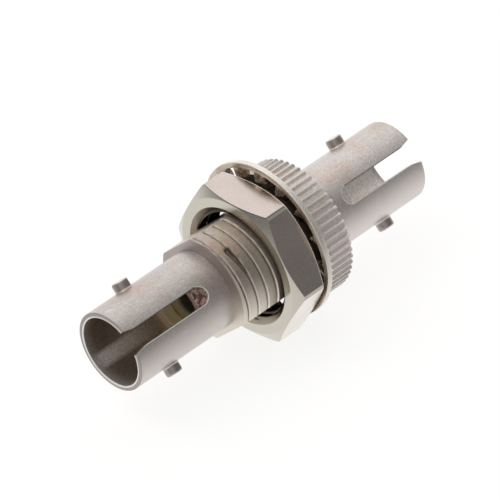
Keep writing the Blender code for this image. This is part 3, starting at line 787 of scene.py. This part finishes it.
def bright_nickel(name):
    """Bright nickel plate: nearly a mirror on the flats, faintly green where turned, with painted brown shade
    in the bore.
    """
    material, tree, in_mm, along, across, radius = metal_places(name, AXIS_HEIGHT)
    height = dot(tree, across, (0, 0, 1))
    patch = add(tree, "ShaderNodeTexNoise", {"Vector": in_mm, "Scale": 0.25, "Detail": 2.0})
    grain = add(tree, "ShaderNodeTexNoise", {"Vector": in_mm, "Scale": 7.0, "Detail": 3.0})
    rings = times(tree, radius, 14.0)
    rings = add(tree, "ShaderNodeTexNoise", {"W": rings, "Scale": 1.0, "Detail": 2.0}, noise_dimensions="1D")
    plate = blend(tree, ramp(tree, patch, 0.45, 0.65), "#CFC1BB", "#C7BDB4")
    plate = blend(tree, ramp(tree, height, -1.0, -3.0), plate, "#C2BCB1")
    plate = scaled(tree, plate, ramp(tree, grain, 0.3, 0.7, 0.93, 1.05))

    # Turned faces and chamfers, where the hexagon's flats end, lean to green behind a fine dark edge
    on_flat = 0.0
    for way in ((0, 0, 1), (0, math.cos(math.pi / 6), 0.5), (0, math.cos(math.pi / 6), -0.5)):
        on_flat = maths(tree, "MAXIMUM", maths(tree, "ABSOLUTE", dot(tree, across, way)), on_flat)
    turned_share = ramp(tree, on_flat, NUT_FLAT - 0.005, NUT_FLAT - 0.015)
    after_edge = ramp(tree, height, NUT_FLAT - 0.04, NUT_FLAT - 0.08, 0.45, 1.0)
    green = scaled(tree, linear("#B8B3A8")[:3], after_edge)
    plate = blend(tree, turned_share, plate, green)

    # The bore, higher up its chamfer on top, and the back face are painted brown, and near black deeper in:
    # painted shade in the bore and in the gap to the washer
    outward = add(tree, "ShaderNodeVectorMath", {0: across}, operation="NORMALIZE")
    upper = dot(tree, outward, (0.0, -0.70, 0.72))
    edge = ramp(tree, upper, -0.1, 0.5, NUT_BORE + 0.07, NUT_BORE + 0.29)
    inward = maths(tree, "SUBTRACT", edge, radius)
    back_face = ramp(tree, along, NUT_BACK - 0.02, NUT_BACK - 0.005)
    painted_recess_shade = maths(tree, "MAXIMUM", ramp(tree, inward, 0.0, 0.06), back_face)
    plate = blend(tree, painted_recess_shade, plate, "#5E5047")
    plate = blend(tree, ramp(tree, inward, 0.08, 0.24), plate, "#2B221C")

    # The edge between the flats and the back chamfer carries a fine painted highlight line
    to_cone = maths(tree, "MULTIPLY_ADD", radius, FACE_SLOPE, along)
    cone = NUT_BACK + FACE * FACE_SLOPE
    near_flats = ramp(tree, to_cone, cone - 0.09, cone - 0.06)
    painted_edge_highlight = times(tree, near_flats, ramp(tree, to_cone, cone + 0.03, cone + 0.01))
    plate = blend(tree, painted_edge_highlight, plate, "#F2ECE4")
    coarse = add(tree, "ShaderNodeBump", {"Height": rings, "Strength": 0.10, "Distance": 0.01 * MM})
    feed(tree, tree.nodes["Principled BSDF"], {
        "Base Color": plate,
        "Metallic": ramp(tree, painted_edge_highlight, 0.0, 1.0, 1.0, 0.2),
        "Roughness": ramp(tree, grain, 0.3, 0.7, 0.17, 0.25),
        "Normal": add(tree, "ShaderNodeBump", {
            "Height": grain, "Strength": 0.12, "Distance": 0.01 * MM, "Normal": coarse,
        }),
    })
    return material


nut_nickel = bright_nickel("bright_nickel")
prism = bmesh.new()
corner = NUT_FLAT / math.cos(math.pi / 6)
corners = [(corner, math.tau * k / 6) for k in range(6)]
bottom = prism.faces.new([prism.verts.new((-3.0, r * math.cos(a), r * math.sin(a))) for r, a in corners])
raised = bmesh.ops.extrude_face_region(prism, geom=[bottom])["geom"]
bmesh.ops.translate(prism, verts=[v for v in raised if isinstance(v, bmesh.types.BMVert)], vec=(6, 0, 0))
bmesh.ops.recalc_face_normals(prism, faces=prism.faces)
rim = corner - 0.10
fall = (rim - FACE) * FACE_SLOPE
relief = NUT_BORE + 0.12
relief_front = NUT_FRONT + BORE_CHAMFER
relief_back = NUT_BACK - BORE_CHAMFER
blank = turned([
    (NUT_FRONT, FACE, 0.05), (NUT_FRONT + fall, rim, 0.0), (NUT_BACK - fall, rim, 0.0),
    (NUT_BACK, FACE, 0.05), (NUT_BACK, NUT_BORE + BORE_CHAMFER, 0.05), (relief_back, NUT_BORE, 0.0),
    (relief_back, relief, 0.0), (relief_front, relief, 0.0), (relief_front, NUT_BORE, 0.0),
    (NUT_FRONT, NUT_BORE + BORE_CHAMFER, 0.05),
], columns=288, longest=9.0)
nut_mesh = boolean(prism, blank, "INTERSECT")

# The body is rolled and the nut is not, so the nut's thread starts that much earlier to meet the shank's
bore_thread = grown(
    "bore", thread_tree, start=relief_front, end=relief_back, other_wall=5.1, crest=NUT_BORE, rib=0.20,
    half_width=0.12, pitch=PITCH, phase=THREAD_PHASE - ROLL / 360.0, flat=9.0, flat_turn=0.0, bevel=9.0,
    pocket=-9.0, rows=60, columns=361, finish=nut_nickel,
)
thread_part = bpy.data.meshes.new("thread_part")
bore_thread.to_mesh(thread_part)
bore_thread.free()
nut_mesh.from_mesh(thread_part)
bpy.data.meshes.remove(thread_part)
hex_nut = finished("panel_nut", nut_mesh, NUT_AXIS, nut_nickel, crease=14.0)
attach(hex_nut, "nut")
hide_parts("hex_nut")


# Camera and studio
# A long lens looks down on the adapter from beside its threaded mouth. The floor and the room are
# white, with two dim sides that the metal mirrors as its darker tones.

scene = bpy.context.scene
scene.view_settings.view_transform = "Standard"
side_way = Vector((0, math.cos(math.radians(44.0)), math.sin(math.radians(44.0))))
top_way = Vector((0, -side_way.z, side_way.y))
turn = math.radians(58.5)
tilt = math.radians(34.1)
distance = 477.3
along_way = Vector((1, 0, 0))
back = top_way * math.sin(turn) - along_way * math.cos(turn)
reach = along_way * math.sin(turn) + top_way * math.cos(turn)
right = reach * math.cos(tilt) - side_way * math.sin(tilt)
up = reach * math.sin(tilt) + side_way * math.cos(tilt)
aim = Vector((-0.20, 0, AXIS_HEIGHT)) - right * 0.231 + up * 0.438
camera = bpy.data.objects.new("camera", bpy.data.cameras.new("camera"))
camera.data.lens = 432.0
camera.data.clip_start = 0.01
camera.data.clip_end = 10.0
looking = Matrix((right, up, back)).transposed().to_4x4()
camera.matrix_world = Matrix.Translation((aim + back * distance) * MM) @ looking
scene.collection.objects.link(camera)
scene.camera = camera

floor_mesh = bpy.data.meshes.new("floor")
floor_mesh.from_pydata([(-2, -2, 0), (2, -2, 0), (2, 2, 0), (-2, 2, 0)], [], [(0, 1, 2, 3)])
floor = bpy.data.objects.new("floor", floor_mesh)
scene.collection.objects.link(floor)
paper = bpy.data.materials.new("white_paper")
paper.use_nodes = True
tree = paper.node_tree
tree.nodes.clear()

# The camera sees the paper lifted to white, with the adapter's faint shadow left on it
ray = add(tree, "ShaderNodeLightPath")
lift = maths(tree, "MULTIPLY", ray.outputs["Is Camera Ray"], 0.84)
matt = add(tree, "ShaderNodeBsdfDiffuse", {"Color": linear("#858381")})
glow = add(tree, "ShaderNodeEmission", {"Color": (1, 1, 1, 1), "Strength": lift})
sheet = add(tree, "ShaderNodeAddShader", {0: matt, 1: glow})

# In the metal the paper looks brightest right under the adapter and falls off to its two dim sides
place = add(tree, "ShaderNodeTexCoord")
to_dim_sides = scaled(tree, place.outputs["Object"], -1000.0)
split = add(tree, "ShaderNodeSeparateXYZ", {0: to_dim_sides})
aside = maths(tree, "MAXIMUM", split.outputs[0], split.outputs[1])
close_by = ramp(tree, split.outputs[1], 5.0, 16.0, 1.22, 0.80)
mirrored = times(tree, close_by, ramp(tree, aside, 15.0, 60.0, 1.0, 0.50))
mirrored = add(tree, "ShaderNodeEmission", {"Color": (1, 1, 1, 1), "Strength": mirrored})
sheet = add(tree, "ShaderNodeMixShader", {0: ray.outputs["Is Glossy Ray"], 1: sheet, 2: mirrored})
add(tree, "ShaderNodeOutputMaterial", {0: sheet})
floor_mesh.materials.append(paper)

room = bpy.data.worlds.new("room")
scene.world = room
room.use_nodes = True
tree = room.node_tree
tree.nodes.clear()
way = add(tree, "ShaderNodeTexCoord")
room_light = 1.0
for side, start, full, dimmest in (
    ((0.50, -0.82, 0.26), 0.15, 0.98, 0.215),
    ((-0.95, 0.22, 0.18), 0.60, 0.88, 0.28),
):
    facing = dot(tree, way.outputs["Generated"], Vector(side).normalized())
    dim = ramp(tree, facing, start, full, 1.0, dimmest, interpolation_type="SMOOTHSTEP")
    room_light = maths(tree, "MULTIPLY", dim, room_light)
ray = add(tree, "ShaderNodeLightPath")
light = add(tree, "ShaderNodeMix", {
    0: ray.outputs["Is Camera Ray"], 2: room_light, 3: 1.0,
}, data_type="FLOAT")
backdrop = add(tree, "ShaderNodeBackground", {"Color": (1, 1, 1, 1), "Strength": light})
add(tree, "ShaderNodeOutputWorld", {0: backdrop})

for name, spot, watts in (("key", (-0.25, 0.30, 0.55), 0.5), ("fill", (0.36, 0.46, 0.40), 0.06)):
    lamp = bpy.data.objects.new(name, bpy.data.lights.new(name, "AREA"))
    lamp.data.energy = watts
    lamp.data.size = 0.35
    lamp.location = spot
    lamp.rotation_euler = Vector(spot).to_track_quat("Z", "Y").to_euler()
    scene.collection.objects.link(lamp)
